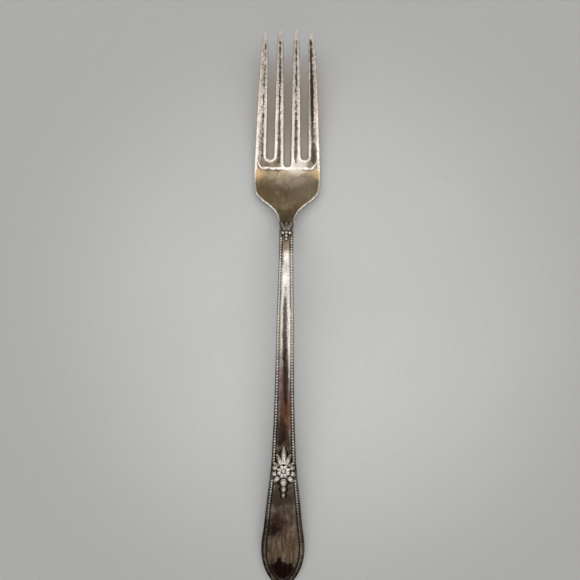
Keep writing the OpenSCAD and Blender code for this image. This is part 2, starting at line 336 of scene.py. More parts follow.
def leaf(x, y, x0, y0, dx, dy, width, rise, vein=0.5):
    """Height of a leaf that starts at x0, y0 and runs dx, dy."""
    l = math.hypot(dx, dy)
    u = ((x - x0) * dx + (y - y0) * dy) / l**2
    v = ((x - x0) * dy - (y - y0) * dx) / l
    inside = (u > 0) & (u < 1)
    uu = np.clip(u, 0.001, 0.999)
    half = width / 2 * (np.sin(np.pi * uu**0.95) ** 0.62)
    q = np.clip(1 - (v / np.maximum(half, 0.01)) ** 2, 0, 1)
    body = (0.3 * np.sqrt(q) + 0.8 * q) * (0.5 + 0.5 * np.sin(np.pi * uu**0.9))
    cut = vein * 0.5 * np.exp(-((v / (0.1 * width)) ** 2)) * (1 - 0.8 * uu)
    return np.where(inside, CREST_H * rise * np.clip(body - cut, 0, None), 0)


def dome(x, y, x0, y0, r, rise):
    q = np.clip(1 - ((x - x0) ** 2 + (y - y0) ** 2) / r**2, 0, 1)
    return CREST_H * rise * np.sqrt(q)


def ornament(x, y, broad=1.0):
    """Height of the ornament; broad above 1 widens each leaf, which gives the ground that it stands on."""
    wide, high, neck = CREST_HALF, CREST_L, NECK_W
    leaves = [
        (0, CREST_Y + 0.05 * high, sx * wide, sy * high, 0.56 * broad * wide, rise) for sx, sy, rise in FAN]
    leaves += [
        (side * sx * wide, CREST_Y + sy * high, side * lx * wide, ly * high, 0.52 * broad * wide, 0.95)
        for side in (-1, 1) for sx, sy, lx, ly in SPRAYS]
    leaves += [(0, CREST_Y + sy * high, 0, -ly * high, w * broad * wide, 0.95) for sy, ly, w in HUSKS]
    h = reduce(np.maximum, [leaf(x, y, *sizes) for sizes in leaves])

    petals = dome(x, y, 0, CREST_Y, 0.2 * broad * wide, 1.75)
    for i in range(8):
        a = math.radians(22.5 + 45 * i)
        petals = np.maximum(petals, leaf(
            x, y, 0.1 * wide * math.sin(a), CREST_Y + 0.1 * wide * math.cos(a),
            0.5 * wide * math.sin(a), 0.5 * wide * math.cos(a), 0.46 * broad * wide, 1.3, 0.2))
    rosette = np.hypot(x, y - CREST_Y) < 0.6 * broad * wide
    h = np.where(rosette, np.maximum(petals, 0.1 * h), h)

    for lean in (-0.42, 0, 0.42):
        h = np.maximum(h, leaf(x, y, 0, SPRAY_Y, lean * neck, 0.78 * neck, 0.4 * broad * neck, 0.8))
        h = np.maximum(h, dome(x, y, 0.62 * lean * neck, SPRAY_Y - 0.06 * neck, 0.13 * broad * neck, 0.9))
    for i in range(3):
        h = np.maximum(h, dome(
            x, y, 0, SPRAY_Y - (0.04 + 0.25 * i) * neck, (0.15 - 0.02 * i) * broad * neck, 0.95))
    return h


def groove(y, d):
    """The line struck just inside the beads, at d from the edge of the handle."""
    b = border(y)
    u = np.clip((d - b) / (0.3 * b), 0, 1)
    strip = np.clip((d - RIM_R) / 0.12, 0, 1) * np.clip((b - d) / 0.12, 0, 1)
    deepest = GROOVE_D * relief_share(y) * np.clip(half_w(y) / BORDER_W - 1, 0, 1)
    return -deepest * (0.5 - 0.5 * np.cos(2 * np.pi * u)) - 0.35 * deepest * strip


print("half width of the handle at the crest:", round(CREST_HALF, 2), "mm")

# %% [markdown]
# ## The skin
# The skin is made of rings that follow the outline, closed over the top and the back by triangles. The
# rings turn through a quarter circle at the upper edge, which gives the bright rims of old cutlery, and
# through a smaller one at the back. The triangles are a Delaunay mesh of points laid out finely where
# the ornament is and coarsely where the metal is plain.
#
# Every point also carries four masks that the finish reads later: bare is rubbed bright, hollow keeps
# grime, spine is the middle of a tine, where a dark reflection is painted, and upper is the side that the
# stains and the painted lights are on.

# %% Places inside the outline
MASKS = ("bare", "hollow", "spine", "upper")
GROOVE_LINES = (1, 1.15, 1.3)  # both sides and the middle of the groove, in widths of the border
SKIN_STEP, BACK_STEP, CREST_STEP, SPRAY_STEP = 0.42, 1.0, 0.135, 0.15  # how closely points are laid out
SKIN_GAP, BACK_GAP, LINE_GAP = 0.16, 0.5, 0.09  # and how far they stay from the rim and the groove


def edge_distance(pts):
    """Distance of each point to the outline, and the nearest outline point."""
    a, b = outline, np.roll(outline, -1, 0)
    ab = b - a
    ab2 = (ab**2).sum(1)
    dist, near = np.empty(len(pts)), np.empty(len(pts), int)
    for i in range(0, len(pts), 2000):
        p = pts[i:i + 2000, None]
        t = np.clip(((p - a) * ab).sum(2) / ab2, 0, 1)
        d = np.hypot(*np.moveaxis(p - a - t[..., None] * ab, 2, 0))
        near[i:i + 2000] = d.argmin(1)
        dist[i:i + 2000] = d.min(1)
    return dist, near


def inside_outline(pts):
    (ax, ay), (bx, by) = outline.T, np.roll(outline, -1, 0).T
    odd = np.zeros(len(pts), bool)
    for i in range(0, len(pts), 4000):
        px, py = pts[i:i + 4000, :1], pts[i:i + 4000, 1:]
        x = ax + (py - ay) * (bx - ax) / np.where(by == ay, 1e-9, by - ay)
        odd[i:i + 4000] = (((ay > py) != (by > py)) & (px < x)).sum(1) % 2 == 1
    return odd


def lattice(x0, x1, y0, y1, s):
    """Points in staggered rows."""
    rows = []
    for i, y in enumerate(np.arange(y0, y1, s * 0.866)):
        x = np.arange(x0 + (i % 2) * s / 2, x1, s)
        rows.append(np.stack([x, np.full(len(x), y)], 1))
    return np.concatenate(rows)


def fill_points(fine):
    """Points inside the outline; the fine ones are closest where the ornament is."""
    keep = lattice(-13, 13, END_Y, TIP_Y, SKIN_STEP if fine else BACK_STEP)
    if fine:
        x, y = np.abs(keep).T[0], keep[:, 1]
        crest = (np.abs(y - CREST_Y + 0.4) < 11.2) & (x < 6.5)
        neck = (np.abs(y - SPRAY_Y - 0.4) < 3.9) & (x < 3.5)
        keep = np.concatenate([
            keep[~crest & ~neck],
            lattice(-6.5, 6.5, CREST_Y - 11.6, CREST_Y + 10.8, CREST_STEP),
            lattice(-3.5, 3.5, SPRAY_Y - 3.5, SPRAY_Y + 4.3, SPRAY_STEP),
        ])
    return keep[inside_outline(keep)]


def line_inside(distance):
    """A line along the handle at a distance from its edge, which keeps the groove crisp."""
    ids = round_handle(LINES_END)
    return outline[ids] + inward[ids] * distance(outline[ids, 1])[:, None]


print("points laid out on the back:", len(fill_points(False)))


# %% One closed skin, inset by t
def clean_stem(y):
    """How much grime the groove keeps: all of it on the handle, little on the often wiped stem."""
    return 1 - 0.65 * ease((y + 46) / 28) * (1 - ease((y - 22) / 3))


def edge_rings(t, fine):
    """Rings round the edge from the back to the upper side, and how bare and how grimy they are."""
    quarter = np.radians([0, 18, 36, 54, 72, 90] if fine else [0, 45, 90])
    head = ease((outline[:, 1] - NECK_Y - 1) / 5)
    low_hand = 1 - ease((outline[:, 1] + 55) / 30)
    rings, bare, grime = [], [], []
    for a in quarter[::-1]:
        r = 0.8 * rim
        p = outline + inward * (r * (1 - np.cos(a)) + t)[:, None]
        rings.append(np.column_stack([p, back(*p.T) + t + r * (1 - np.sin(a))]))
        bare.append(np.full(len(p), 0.25))
        grime.append(np.zeros(len(p)))
    for a in quarter:
        p = outline + inward * (rim * (1 - np.cos(a)) + t)[:, None]
        rings.append(np.column_stack([p, top(*p.T) - t - rim * (1 - np.sin(a))]))
        bare.append(head * (1.0 if 0.3 < a < 1.5 else 0.55) + (1 - head) * (0.4 if a > 0.9 else 0.08))
        grime.append((1 - head) * (0.55 * low_hand if a > 0.9 else 0.5 + 0.25 * low_hand))
    return rings, bare, grime


def panel(ring, t, fine, is_upper):
    """Places and triangles that close a side, and which point of the ring each place is, or -1."""
    pts = fill_points(fine and is_upper)
    dist, near = edge_distance(pts)
    keep = dist > rim[near] + t + (SKIN_GAP if fine and is_upper else BACK_GAP)
    lines = []
    if is_upper:
        width = border(pts[:, 1])
        gap = np.min([np.abs(dist - k * width) for k in GROOVE_LINES], 0)
        keep &= (pts[:, 1] >= BARE_START) | (gap >= LINE_GAP)
        lines = [line_inside(lambda y: k * border(y)) for k in GROOVE_LINES]
        if fine:
            lines.append(line_inside(lambda y: np.maximum(border(y) - 0.12, RIM_R + 0.12)))
    n = start = len(ring)
    edges = [(i, (i + 1) % n) for i in range(n)]
    for line in lines:
        edges += [(start + i, start + i + 1) for i in range(len(line) - 1)]
        start += len(line)
    flat = np.concatenate([ring, *lines, pts[keep]])
    out = delaunay_2d_cdt([Vector(p) for p in flat], edges, [], 1, 1e-6)
    origin = np.array([o[0] if o and o[0] < n else -1 for o in out[3]])
    return np.array(out[0]).T, np.array([f for f in out[2] if len(f) == 3]), origin


def struck(x, y, fine):
    """What the upper side has at a place: height of the relief, how bare it is, how much grime it keeps."""
    d, _ = edge_distance(np.column_stack([x, y]))
    raised = ornament(x, y) if fine else 0 * d
    lift = raised + groove(y, d) * (raised < 0.02)
    ground = np.clip(ornament(x, y, 1.5) / 0.1, 0, 1) * np.clip(1.25 - raised / 0.2, 0, 1)
    strip = 0.9 * (d < border(y)) * (y < DIRT_END) * (raised < 0.02)
    dirt = np.maximum(np.where(y < 0, 1.0, 0.6) * ground, strip)
    rubbed = np.where(y < 0, 0.95, 0.45) * np.clip((raised - 0.22) / 0.17, 0, 1)
    lip = np.clip((1.3 - d) / 0.5, 0, 1) * ease((y - ROOT_Y + 1.8) / 0.8) * (1 - 0.5 * ease((y - 60) / 16))
    return lift, np.maximum(rubbed, 0.8 * lip), dirt


def skin(t, fine):
    """Vertices in mm, triangles, and the masks."""
    rings, bare, grime = edge_rings(t, fine)
    n, m = len(outline), len(rings)
    verts = np.concatenate(rings)
    on_top = np.repeat([0.0, 1.0], n * m // 2)
    marks = np.column_stack([0 * on_top, np.concatenate(bare), np.concatenate(grime), on_top])
    a, b = np.arange(n), np.roll(np.arange(n), -1)
    faces = []
    for i in range(m - 1):
        faces += [np.stack([a, b, b + n], 1) + i * n, np.stack([a, b + n, a + n], 1) + i * n]

    for is_upper in (True, False):
        ring, base = (rings[-1], (m - 1) * n) if is_upper else (rings[0], 0)
        (x, y), tri, index = panel(ring[:, :2], t, fine, is_upper)
        lift, rubbed, dirt = struck(x, y, fine) if is_upper else np.zeros((3, len(x)))
        z = top(x, y) - t + lift if is_upper else back(x, y) + t
        new = index < 0
        index = np.where(new, len(verts) + np.cumsum(new) - 1, base + index)
        verts = np.concatenate([verts, np.column_stack([x, y, z])[new]])
        marks = np.concatenate([marks, np.column_stack([lift, rubbed, dirt, np.full(len(x), is_upper)])[new]])
        tri = index[tri]
        (x1, y1, _), (x2, y2, _) = ((verts[tri[:, k]] - verts[tri[:, 0]]).T for k in (1, 2))
        turned = x1 * y2 - y1 * x2 < 0
        tri[turned] = tri[turned][:, ::-1]
        faces.append(tri if is_upper else tri[:, ::-1])
    faces = np.concatenate(faces)

    # hollows and highs, from how the relief differs from its surroundings
    lift, bare, grime, on_top = marks.T
    start, end = np.concatenate([faces[:, [0, 1]], faces[:, [1, 2]], faces[:, [2, 0]]]).T
    count = np.maximum(np.bincount(start, minlength=len(verts)), 1)
    smooth = lift
    for _ in range(14 if fine else 2):
        smooth = 0.5 * smooth + 0.5 * np.bincount(start, smooth[end], len(verts)) / count
    x, y, _ = verts.T
    hollow = np.maximum(np.clip((smooth - lift) / 0.07, 0, 1) * clean_stem(y), grime)
    points = ease((y - TIP_Y + 3.4) / 2.8)
    bare = np.maximum(np.maximum(bare, np.clip((lift - smooth) / 0.08, 0, 1)), 0.7 * points)
    # spine marks the middle of a tine, where the finish paints a dark reflection
    spine = ease((y - ROOT_Y + 1) / 3) * np.clip(1 - tine_place(x, y, 0.4), 0, 1) * (1 - points)
    print("skin", t, "mm deep:", len(verts), "points,", len(faces), "triangles")
    return verts, faces, np.column_stack([bare, hollow, spine, on_top])


outer_skin, inner_skin = skin(0.0, True), skin(PLATE_T, False)

# %% [markdown]
# ## The silver and the blank under it
# The silver is a closed shell: the outer skin and, turned round, a skin one plate thickness deeper. The
# fork stands a little too low at first, and a flat cut at the table takes away the two places where such
# a fork is always rubbed bare. There the blank shows with its own yellower metal.

# %% Make a solid that is worn flat at the table
def new_object(name, data):
    piece = bpy.data.objects.new(name, data)
    bpy.context.scene.collection.objects.link(piece)
    return piece


def worn_solid(name, skins):
    bm = bmesh.new()
    layers = [bm.verts.layers.float.new(mask) for mask in MASKS]
    for (verts, faces, masks), turned in skins:
        made = []
        for p, values in zip(verts * MM, masks):
            v = bm.verts.new(p)
            for layer, value in zip(layers, values):
                v[layer] = value
            made.append(v)
        for f in faces[:, ::-1] if turned else faces:
            bm.faces.new([made[i] for i in f])
    for f in bm.faces:
        f.smooth = True
    cut = bmesh.ops.bisect_plane(
        bm, geom=bm.verts[:] + bm.edges[:] + bm.faces[:], dist=1e-8,
        plane_co=(0, 0, 0), plane_no=(0, 0, 1), clear_inner=True)["geom_cut"]
    loop = [e for e in cut if isinstance(e, bmesh.types.BMEdge)]
    bmesh.ops.triangle_fill(bm, use_beauty=True, use_dissolve=False, edges=loop, normal=(0, 0, -1))
    for e in loop:
        e.smooth = False
    mesh = bpy.data.meshes.new(name)
    bm.to_mesh(mesh)
    bm.free()
    print(name, "has", len(mesh.polygons), "faces,", sum(e.is_loose for e in mesh.edges), "loose edges")
    return new_object(name, mesh)


silver = worn_solid("fork_silver", [(outer_skin, False), (inner_skin, True)])
blank = worn_solid("fork_blank", [(inner_skin, False)])

# %% [markdown]
# ## Short names for nodes
# The bead border and the finish are recipes made of nodes. With short names for the nodes that come up
# again and again, a recipe says what is worked out, and the wiring takes care of itself.

# %% A node tree with short names
def srgb(r, g, b):
    """A colour as it is picked on a screen, 0 to 255, in the linear light that nodes work in."""
    linear = [((c / 255 + 0.055) / 1.055) ** 2.4 if c > 10 else c / 255 / 12.92 for c in (r, g, b)]
    return (*linear, 1.0)


class Nodes:
    """A node tree. Where a node is given a socket it is linked, and anything else becomes its value."""

    def __init__(self, tree):
        self.tree = tree

    def fill(self, node, inputs):
        for key, value in inputs.items():
            if isinstance(value, bpy.types.NodeSocket):
                self.tree.links.new(value, node.inputs[key])
            else:
                node.inputs[key].default_value = value
        return node

    def new(self, kind, inputs=None, **settings):
        node = self.tree.nodes.new(kind)
        for key, value in settings.items():
            setattr(node, key, value)
        return self.fill(node, inputs or {}).outputs

    def calc(self, operation, *values):
        return self.new("ShaderNodeMath", dict(enumerate(values)), operation=operation)[0]

    def add(self, *terms):
        return reduce(lambda a, b: self.calc("ADD", a, b), terms)

    def times(self, *terms):
        return reduce(lambda a, b: self.calc("MULTIPLY", a, b), terms)

    def swing(self, value, size):
        """A noise, turned into a swing to both sides of nothing."""
        return self.times(self.calc("SUBTRACT", value, 0.5), size)

    def vector(self, operation, *values):
        found = self.new("ShaderNodeVectorMath", dict(enumerate(values)), operation=operation)
        return found["Value" if operation == "LENGTH" else "Vector"]

    def axes(self, place):
        return tuple(self.new("ShaderNodeSeparateXYZ", {0: place}))

    def ease(self, value, low, high, to_low=0.0, to_high=1.0):
        """A soft step: to_low where the value is at low, to_high where it is at high."""
        return self.new("ShaderNodeMapRange", {
            "Value": value, "From Min": low, "From Max": high, "To Min": to_low, "To Max": to_high,
        }, interpolation_type="SMOOTHSTEP")["Result"]

    def noise(self, place, scale, detail=4.0, rough=0.55, distortion=0.0):
        return self.new("ShaderNodeTexNoise", {
            "Vector": place, "Scale": scale, "Detail": detail, "Roughness": rough, "Distortion": distortion,
        })["Fac"]

    def stretched(self, place, scale, turn=0.0):
        return self.new("ShaderNodeMapping", {
            "Vector": place, "Rotation": (0, 0, turn), "Scale": scale})["Vector"]

    def mix(self, amount, a, b):
        """From colour a to colour b; either may be given as red, green and blue from 0 to 255."""
        a, b = (srgb(*c) if isinstance(c, tuple) else c for c in (a, b))
        return self.new("ShaderNodeMix", {0: amount, 6: a, 7: b}, data_type="RGBA")[2]

    def lay(self, colour, *layers):
        """Colours laid over one another. Each layer says how much of it shows, and its colour."""
        return reduce(lambda under, layer: self.mix(layer[0], under, layer[1]), layers, colour)

    def group(self, tree, **inputs):
        return self.new("ShaderNodeGroup", inputs, node_tree=tree)

    def bump(self, height, strength, distance):
        return self.new("ShaderNodeBump", {
            "Height": height, "Strength": strength, "Distance": distance})["Normal"]


def open_group(kind, name, inputs, outputs):
    """A new node group, its inputs, and the names by which a modifier knows them."""
    tree, known = bpy.data.node_groups.new(name, kind), {}
    for way, sockets in (("INPUT", inputs), ("OUTPUT", outputs)):
        for label, what in sockets.items():
            socket = tree.interface.new_socket(label, in_out=way, socket_type="NodeSocket" + what)
            known.setdefault(label, socket.identifier)
    n = Nodes(tree)
    return n, n.new("NodeGroupInput"), known


print("screen grey 128 in linear light:", round(srgb(128, 128, 128)[0], 3))

# %% [markdown]
# ## The bead border
# A row of equal things along a line is work for Geometry Nodes: the line is resampled at the pitch of the
# beads, a small bead is put on each point, and the instances are made real at the end so that the export
# keeps them. A bead's masks go by height: its crown is bare, its foot stands in grime, and all of it
# counts as upper side.

# %% The lines that the beads follow, and the node tree that sets them
BEADS = {"Pitch": 1.0 * MM, "Bead Radius": 0.4 * MM, "Flatness": 0.8, "Seed": 7}


def bead_lines():
    """The left row of the stem, the row round the handle, and the right row of the stem."""
    ids = round_handle(BEADS_END)
    inset = 0.35 + 0.11 * half_w(np.maximum(outline[ids, 1], WIDE_Y))
    p = outline[ids] + inward[ids] * inset[:, None]
    line = np.column_stack([p, top(*p.T) + groove(p[:, 1], edge_distance(p)[0])]) * MM
    low, high = (CREST_Y - 0.16 * CREST_L) * MM, (CREST_Y + 0.15 * CREST_L) * MM
    stem, end = line[:, 1] > high, line[:, 1] < low
    return [line[stem & (line[:, 0] < 0)], line[end], line[stem & (line[:, 0] > 0)]]


def bead_tree():
    n, given, known = open_group("GeometryNodeTree", "beads_along_a_line", {
        "Geometry": "Geometry", "Pitch": "Float", "Bead Radius": "Float", "Flatness": "Float",
        "Metal": "Material", "Seed": "Int"}, {"Geometry": "Geometry"})
    row = n.new("GeometryNodeResampleCurve", {
        "Curve": given["Geometry"], "Length": given["Pitch"]}, mode="LENGTH")
    ball = n.new("GeometryNodeMeshIcoSphere", {"Radius": given["Bead Radius"], "Subdivisions": 2})
    squeeze = n.new("ShaderNodeCombineXYZ", {"X": 1.0, "Y": 1.0, "Z": given["Flatness"]})
    bead = n.new("GeometryNodeTransform", {"Geometry": ball["Mesh"], "Scale": squeeze["Vector"]})
    level = n.calc("DIVIDE", n.axes(n.new("GeometryNodeInputPosition")[0])[2], given["Bead Radius"])
    for mask, low, high in (("bare", 0.0, 0.45), ("hollow", 0.3, -0.1), ("upper", -10.0, -9.0)):
        fade = n.new("ShaderNodeMapRange", {"Value": level, "From Min": low, "From Max": high})
        bead = n.new("GeometryNodeStoreNamedAttribute", {
            "Geometry": bead["Geometry"], "Name": mask, "Value": fade["Result"],
        }, data_type="FLOAT", domain="POINT")
    worn = n.new("FunctionNodeRandomValue", {2: 0.9, 3: 1.06, "Seed": given["Seed"]})
    beads = n.new("GeometryNodeInstanceOnPoints", {
        "Points": row["Curve"], "Instance": bead["Geometry"], "Scale": worn[1]})
    real = n.new("GeometryNodeRealizeInstances", {"Geometry": beads["Instances"]})
    smooth = n.new("GeometryNodeSetShadeSmooth", {"Geometry": real["Geometry"]})
    cover = n.new("GeometryNodeSetMaterial", {"Geometry": smooth["Geometry"], "Material": given["Metal"]})
    n.new("NodeGroupOutput", {"Geometry": cover["Geometry"]})
    return n.tree, known


def set_beads(metal):
    data = bpy.data.curves.new("bead_line", "CURVE")
    data.dimensions = "3D"
    for line in bead_lines():
        spline = data.splines.new("POLY")
        spline.points.add(len(line) - 1)
        spline.points.foreach_set("co", np.column_stack([line, np.ones(len(line))]).ravel())
    carrier = new_object("bead_line", data)
    rows = carrier.modifiers.new("beads", "NODES")
    rows.node_group, known = bead_tree()
    for label, value in {**BEADS, "Metal": metal}.items():
        rows[known[label]] = value
    bpy.context.view_layer.update()
    mesh = bpy.data.meshes.new_from_object(carrier.evaluated_get(bpy.context.evaluated_depsgraph_get()))
    mesh.name = "bead_border"
    bpy.data.objects.remove(carrier)
    print("bead border:", len(mesh.polygons) // 80, "beads,", len(mesh.polygons), "faces")
    return new_object("bead_border", mesh)


print("points in the three bead lines:", [len(line) for line in bead_lines()])

# %% [markdown]
# ## The finish of old silver
# Silver goes from bright through yellow and brown to nearly black as sulphide grows on it. It grows in the
# hollows and in clouds on the flats, and hands and cloths rub it off the rims and the highs. So the finish
# needs clouds, single stains and fine scratches, which are node groups, and the masks of the mesh. The
# group for single stains also draws a few painted highlights and painted dark reflections.

# %% Group: clouds of tarnish
clouds, given, _ = open_group(
    "ShaderNodeTree", "tarnish_clouds", {"Vector": "Vector", "Scale": "Float", "Amount": "Float"},
    {"Mask": "Float", "Speckle": "Float"})
broad = clouds.noise(given["Vector"], given["Scale"], 5.0, 0.6, 0.15)
low_edge = clouds.calc("SUBTRACT", 0.78, clouds.times(given["Amount"], 0.5))
fine = clouds.noise(given["Vector"], clouds.times(given["Scale"], 9.0), 3.0, 0.7)
clouds.new("NodeGroupOutput", {
    "Mask": clouds.ease(broad, clouds.calc("SUBTRACT", low_edge, 0.16), clouds.add(low_edge, 0.1)),
    "Speckle": clouds.ease(fine, 0.5, 0.72),
})
print("nodes in the clouds:", len(clouds.tree.nodes))

# %% Group: one spot with a ragged edge, for the stains and for the painted lights
stain_and_light_spot, given, _ = open_group("ShaderNodeTree", "ragged_stain_and_light_spot", {
    "Vector": "Vector", "Place": "Vector", "Radius": "Float", "Stretch": "Vector", "Softness": "Float",
}, {"Mask": "Float"})
radius, softness = given["Radius"], given["Softness"]
apart = stain_and_light_spot.vector("MULTIPLY", stain_and_light_spot.vector("SUBTRACT", given["Vector"], given["Place"]), given["Stretch"])
ragged = stain_and_light_spot.noise(given["Vector"], 420.0, 4.0, 0.6)
reach = stain_and_light_spot.add(stain_and_light_spot.vector("LENGTH", apart), stain_and_light_spot.swing(ragged, stain_and_light_spot.times(radius, 1.6)))
outer_edge = stain_and_light_spot.times(radius, stain_and_light_spot.calc("MULTIPLY_ADD", softness, 0.95, 1.05))
inner_edge = stain_and_light_spot.times(radius, stain_and_light_spot.calc("MULTIPLY_ADD", softness, -0.6, 0.93))
stain_and_light_spot.new("NodeGroupOutput", {"Mask": stain_and_light_spot.ease(reach, outer_edge, inner_edge)})
print("nodes in a stain:", len(stain_and_light_spot.tree.nodes))

# %% Group: scratches and pits of daily use
scratches, given, _ = open_group(
    "ShaderNodeTree", "table_scratches", {"Vector": "Vector", "Scale": "Float"},
    {"Height": "Float", "Dull": "Float"})
cuts = []
for turn, stretch in ((0.25, 26.0), (-0.5, 18.0), (1.35, 22.0)):
    lay = scratches.stretched(given["Vector"], (1.0, 1.0 / stretch, 1.0), turn)
    cuts.append(scratches.ease(scratches.noise(lay, given["Scale"], 2.0, 0.5), 0.62, 0.74))
dull = scratches.times(scratches.add(*cuts), 0.5)
pits = scratches.noise(given["Vector"], scratches.times(given["Scale"], 1.4), 2.0, 0.5)
pits = scratches.ease(pits, 0.66, 0.78)
scratches.new("NodeGroupOutput", {
    "Height": scratches.calc("SUBTRACT", 1.0, scratches.add(dull, pits)), "Dull": dull})
print("nodes in the scratches:", len(scratches.tree.nodes))

# %% [markdown]
# ## The colour along the fork
# The tarnish changes along this fork: brownish silver on the tines, gold and olive in the bowl, bright on
# the upper stem, where a painted highlight is laid into it, red brown below it, and grey brown to black on
# the handle. Three ramps along the fork hold the colour of the tarnish with that painted highlight, its
# strength, and how coarse its grain is.

# %% Colours, strengths, stains and painted lights
BRIGHT = (237, 232, 223)
TINTS = [
    (-96, (34, 22, 17)), (-88, (60, 46, 36)), (-84, (112, 94, 73)), (-77, (110, 93, 75)),
    (-70, (96, 83, 71)), (-62, (94, 84, 73)), (-44, (84, 69, 58)), (-37, (88, 63, 52)),
    (-31, (106, 70, 54)), (-24, (100, 69, 65)), (-18, (116, 90, 86)), (-12, (156, 143, 134)),
    # at 20.5 mm the tint is a painted highlight on the upper stem
    (-2, (160, 150, 140)), (10, (156, 150, 141)), (15, (172, 166, 157)), (20.5, (204, 192, 175)),
    (25.5, (142, 122, 104)), (33, (108, 92, 71)), (40, (98, 82, 61)), (46.5, (91, 78, 59)),
    (49.5, (118, 104, 82)), (52, (176, 160, 132)), (55, (122, 113, 97)), (60, (162, 149, 133)),
    (72, (178, 163, 148)), (92, (188, 169, 153)),
]
STRENGTHS = [
    # the low strength at 20.5 mm lets the painted highlight of the upper stem show
    (-96, 1.0), (-56, 0.98), (-24, 0.98), (-17, 0.85), (-12, 0.75), (8, 0.65), (14, 0.5), (20.5, 0.1),
    (25.5, 0.96), (46, 1.0), (50, 0.95), (56, 0.9), (62, 0.7), (72, 0.5), (85, 0.45), (96, 0.6),
]
GRAIN = [
    (-96, 0.75), (-80, 0.8), (-60, 0.7), (-40, 0.75), (-25, 0.75), (-12, 0.75), (10, 0.5), (24, 0.35),
    (30, 0.22), (46, 0.25), (51, 0.5), (56, 0.6), (64, 0.95), (96, 0.95),
]
STAINS_AND_PAINTED_LIGHTS = [
    # place x, y and radius in mm; stretch across and along; depth; softness; colour
    (-3.2, -73.5, 3.4, 0.95, 0.85, 0.8, 0.75, (34, 22, 17)),
    (-4, -75, 1.9, 0.8, 1, 0.75, 0.5, (24, 13, 9)),
    (-6.6, -79, 3, 2.2, 0.36, 0.9, 0.4, (24, 14, 10)),
    (0, -98.5, 11.2, 0.5, 1, 0.97, 0, (16, 7, 5)),
    (5.4, -73.5, 3.4, 2.2, 0.4, 0.5, 0.5, (96, 66, 60)),
    (-1.2, -63, 3, 0.8, 0.8, 0.5, 0.4, (40, 29, 22)),
    (0.8, -33, 2.4, 1.9, 0.5, 0.5, 0.7, (120, 76, 50)),
    (-1.4, -39, 2.6, 1.2, 0.6, 0.85, 0.3, (34, 23, 17)),
    (-2, -23, 1.8, 1.3, 0.35, 0.5, 0.6, (106, 84, 92)),
    # the next two: a painted dark reflection along the middle of the stem
    (0.4, -20, 1.1, 1.3, 0.11, 0.9, 0.4, (44, 29, 26)),
    (-0.1, -4.5, 1, 1.35, 0.075, 0.95, 0.3, (40, 35, 31)),
    # a painted highlight: a thin bright line on the right of the stem
    (1.6, -9, 0.5, 1.2, 0.045, 0.85, 0.1, (236, 229, 218)),
    # a painted dark reflection in the crown of the upper stem
    (-1.5, 21.2, 1.1, 1.3, 0.32, 0.75, 0.2, (88, 72, 60)),
    (-10.6, 50.6, 1.6, 0.9, 1, 0.55, 0.9, (196, 160, 110)),
    (10.8, 50.6, 1.4, 1, 1, 0.5, 0.9, (196, 162, 118)),
    # a painted highlight at the end of the bowl
    (3, 54.5, 3, 0.8, 1.2, 0.55, 0.8, (226, 220, 210)),
    (0, 49.5, 2.4, 0.7, 0.9, 0.25, 0.9, (160, 152, 140)),
    (7.4, 46, 3.4, 0.8, 0.7, 0.3, 0.9, (136, 127, 112)),
    (-7, 47, 3.6, 0.8, 0.8, 0.3, 0.9, (92, 76, 52)),
    (8, 74, 1, 1.1, 0.1, 0.9, 0.2, (58, 35, 24)),
    (9.8, 76.5, 0.5, 1, 0.05, 0.45, 0.5, (160, 120, 80)),
    (-10, 77, 0.5, 1, 0.045, 0.4, 0.6, (180, 148, 138)),
    (9.4, 58, 1.2, 1, 0.35, 0.8, 0.1, (74, 54, 44)),
]


def ramp_along(n, y_share, stops):
    """A colour ramp with its stops at millimetres along the fork."""
    node = n.tree.nodes.new("ShaderNodeValToRGB")
    node.color_ramp.interpolation = "EASE"
    points = node.color_ramp.elements
    while len(points) > 1:
        points.remove(points[-1])
    for i, (y, value) in enumerate(stops):
        p = points[0] if i == 0 else points.new((y - END_Y) / FORK_L)
        p.position = (y - END_Y) / FORK_L
        p.color = srgb(*value) if isinstance(value, tuple) else (value, value, value, 1.0)
    return n.fill(node, {"Fac": y_share}).outputs["Color"]


print("tint steps:", len(TINTS), "strength steps:", len(STRENGTHS), "stains:", len(STAINS_AND_PAINTED_LIGHTS))

# %% [markdown]
# ## The silver itself
# The finish is laid on in steps: the tarnish along the fork with its grain and the lay of the polishing, the
# stains and painted lights, the painted highlight and shade where the bowl ends, the painted dark reflections
# on the tines, and the grime in the hollows.

# %% What the whole finish reads, and the tarnish along the fork
def read_surface(n, place):
    """The place, the masks of the mesh, and the two noises that several steps share."""
    x, y, _ = n.axes(place)
    masks = {mask: n.new("ShaderNodeAttribute", attribute_name=mask)["Fac"] for mask in MASKS}
    grain, ragged = n.noise(place, 1500.0, 4.0, 0.7), n.noise(place, 420.0, 5.0, 0.7)
    return SimpleNamespace(place=place, x=x, y=y, grain=grain, ragged=ragged, **masks)


